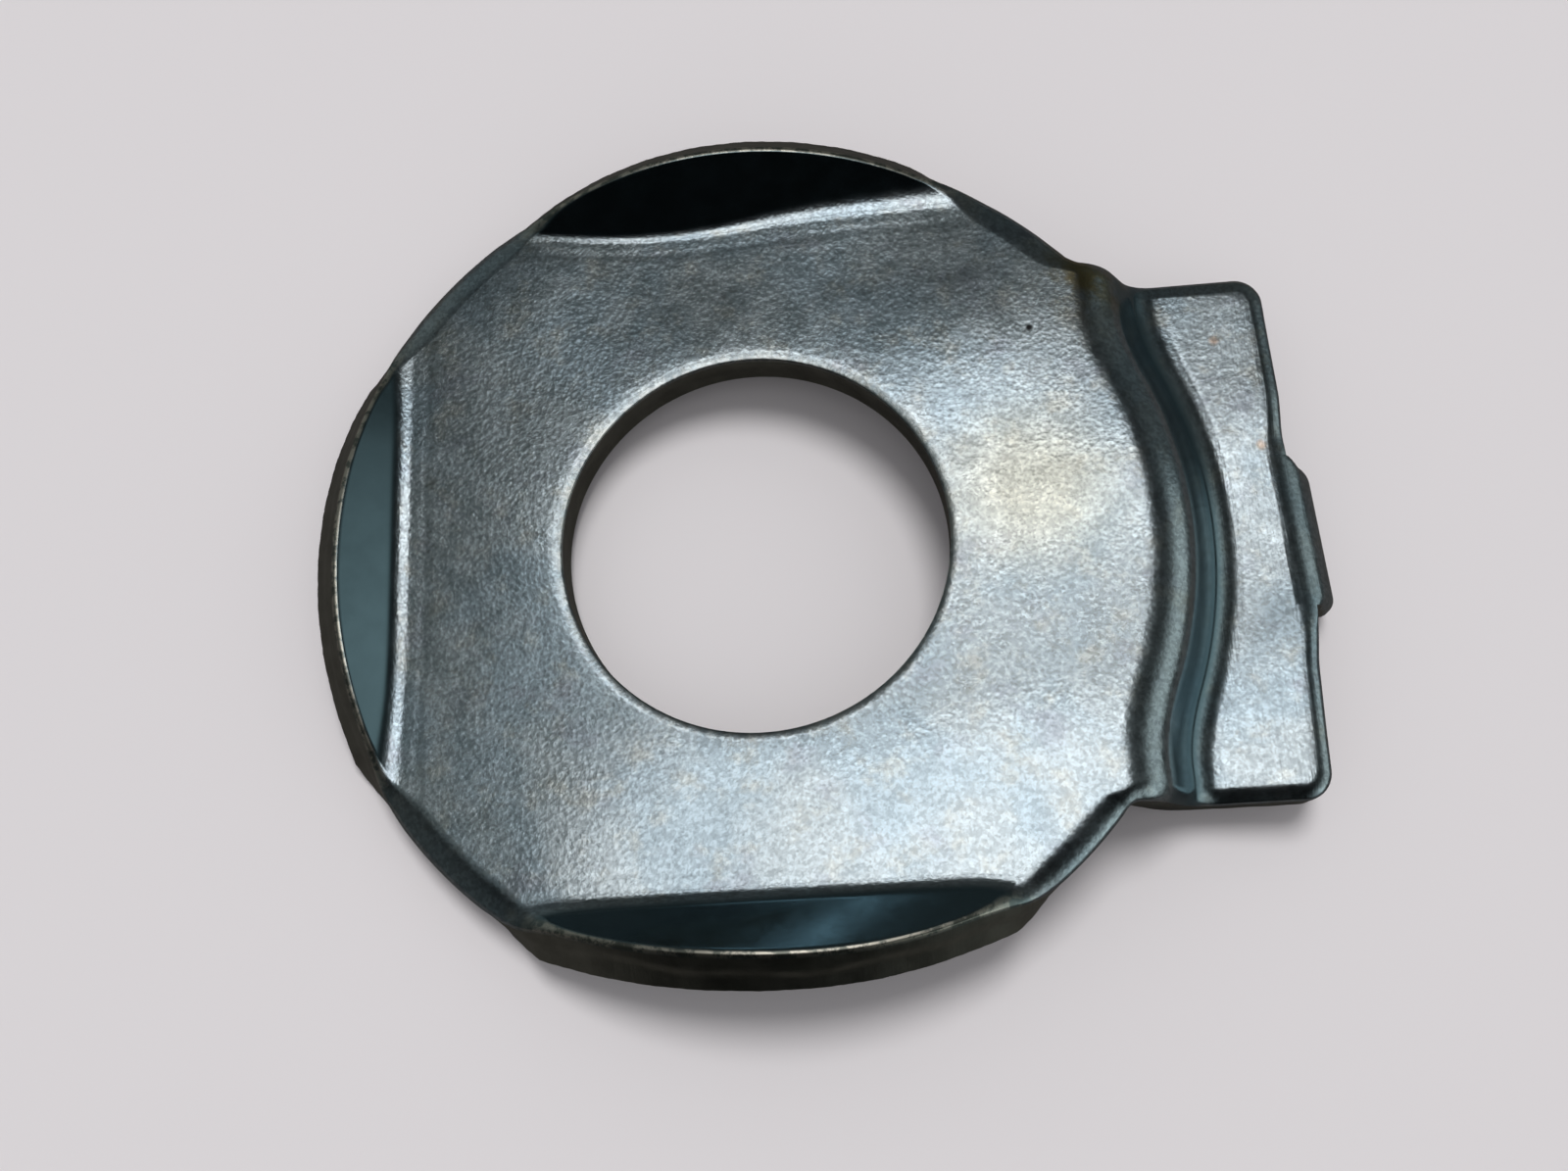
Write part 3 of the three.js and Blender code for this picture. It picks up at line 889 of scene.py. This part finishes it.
def floor_object(hole_centre):
    """A pale table top, tilted as the plate's rest on its far bend and its tooth tilts it, with a painted
    shade where the metal mirrors it.
    """
    contact = hole_centre + Vector(TABLE_CONTACT) * MM
    half = TABLE_HALF_SIZE
    corners = [(-half, -half), (half, -half), (half, half), (-half, half)]
    places = [(contact.x + x, contact.y + y, contact.z - TABLE_SLOPE * x) for x, y in corners]
    data = bpy.data.meshes.new("table")
    data.from_pydata(places, [], [(0, 1, 2, 3)])
    table = bpy.data.objects.new("table", data)
    bpy.context.scene.collection.objects.link(table)
    material = bpy.data.materials.new("table")
    material.use_nodes = True
    tree = material.node_tree
    shader = tree.nodes["Principled BSDF"]
    shader.inputs["Roughness"].default_value = 0.7
    shader.inputs["Specular IOR Level"].default_value = 0.2
    ray = tree.nodes.new("ShaderNodeLightPath")
    place = tree.nodes.new("ShaderNodeTexCoord").outputs["Object"]
    across = add_node(tree, "ShaderNodeSeparateXYZ", {"Vector": place}).outputs["Y"]
    # Painted shade: in the metal's reflections the table is painted nearly black, darkest on its -Y side
    # near the plate, while the camera and the light see it pale
    near = ranged(tree, across, -0.10, -0.045)
    dim = mixed(tree, near, (0.006, 0.006, 0.006, 1.0), (0.075, 0.07, 0.066, 1.0))
    pale = (0.74, 0.71, 0.72, 1.0)
    tree.links.new(mixed(tree, ray.outputs["Is Glossy Ray"], pale, dim), shader.inputs["Base Color"])
    data.materials.append(material)


def area_light(name, low, high, height, radiance, hole_centre):
    """A level panel over the plate, for the metal to mirror. low and high are its corners, as shares
    of its height."""
    data = bpy.data.lights.new(name, "AREA")
    data.shape = "RECTANGLE"
    data.size, data.size_y = (high[0] - low[0]) * height, (high[1] - low[1]) * height
    data.energy = radiance * math.pi * data.size * data.size_y
    light = bpy.data.objects.new(name, data)
    middle = Vector(((low[0] + high[0]) / 2, (low[1] + high[1]) / 2, 1.0)) * height
    light.location = hole_centre + middle
    light.visible_diffuse = False
    bpy.context.scene.collection.objects.link(light)


def soft_key():
    """Broad light from behind the plate, which the table takes and the metal doesn't mirror."""
    data = bpy.data.lights.new("soft_key", "SUN")
    data.energy = KEY_STRENGTH
    data.angle = math.radians(KEY_SPREAD)
    light = bpy.data.objects.new("soft_key", data)
    light.rotation_euler = Vector(KEY_DIRECTION).to_track_quat("Z", "Y").to_euler()
    light.visible_glossy = False
    bpy.context.scene.collection.objects.link(light)


def room():
    """Pale surroundings for the eye and for soft light, and a dim room for the metal to mirror."""
    world = bpy.data.worlds.new("room")
    bpy.context.scene.world = world
    world.use_nodes = True
    tree = world.node_tree
    background = tree.nodes["Background"]
    ray = tree.nodes.new("ShaderNodeLightPath")
    direction = tree.nodes.new("ShaderNodeTexCoord").outputs["Generated"]
    parts = add_node(tree, "ShaderNodeSeparateXYZ", {"Vector": direction}).outputs
    ceiling = product(
        tree,
        ranged(tree, parts["Z"], 0.78, 0.97, 0.0, 0.13),
        ranged(tree, parts["Y"], -0.24, -0.10),
    )
    behind = ranged(tree, parts["Y"], 0.2, 0.8, 0.0, 0.035)
    beside = ranged(tree, math_node(tree, "ABSOLUTE", parts["X"], 0.0), 0.4, 0.8, 0.004, 0.045)
    band = product(
        tree,
        ranged(tree, parts["Z"], 0.0, 0.1),
        ranged(tree, parts["Z"], 0.36, 0.66, 1.0, 0.0),
        ranged(tree, parts["X"], 0.5, 0.8, 0.0, 0.40),
        ranged(tree, parts["Y"], 0.24, 0.46, 1.0, 0.0),
    )
    level = ceiling
    for part in (behind, beside, band):
        level = math_node(tree, "ADD", level, part)
    for way, width, strength in SIDE_GLOWS:
        size = math.sqrt(sum(value**2 for value in way))
        facing = add_node(
            tree,
            "ShaderNodeVectorMath",
            {0: direction, 1: [value / size for value in way]},
            operation="DOT_PRODUCT",
        ).outputs["Value"]
        glow = ranged(tree, facing, math.cos(math.radians(width)), 1.0, 0.0, strength)
        level = math_node(tree, "ADD", level, glow)
    mirrored_room = mixed(tree, 1.0, grey_colour(tree, level), (0.86, 1.0, 0.98, 1.0), "MULTIPLY")
    soft = mixed(tree, ray.outputs["Is Camera Ray"], (0.42, 0.42, 0.43, 1.0), (0.85, 0.815, 0.83, 1.0))
    colour = mixed(tree, ray.outputs["Is Glossy Ray"], soft, mirrored_room)
    tree.links.new(colour, background.inputs["Color"])


def camera(hole_centre):
    data = bpy.data.cameras.new("camera")
    data.sensor_width = SENSOR_WIDTH
    data.lens = LENS
    data.clip_start = 0.005
    eye = bpy.data.objects.new("camera", data)
    eye.location = hole_centre + Vector(EYE) * MM
    eye.rotation_euler = [math.radians(angle) for angle in EYE_TURN]
    bpy.context.scene.collection.objects.link(eye)
    bpy.context.scene.camera = eye


plate, hole_centre = plate_object()
plate.data.materials.append(zinc_plated_steel())
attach(plate, "root")
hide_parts("pressed_plate")

floor_object(hole_centre)
for panel in PANELS:
    area_light(*panel, hole_centre)
soft_key()
room()
camera(hole_centre)
bpy.context.scene.view_settings.view_transform = "Standard"
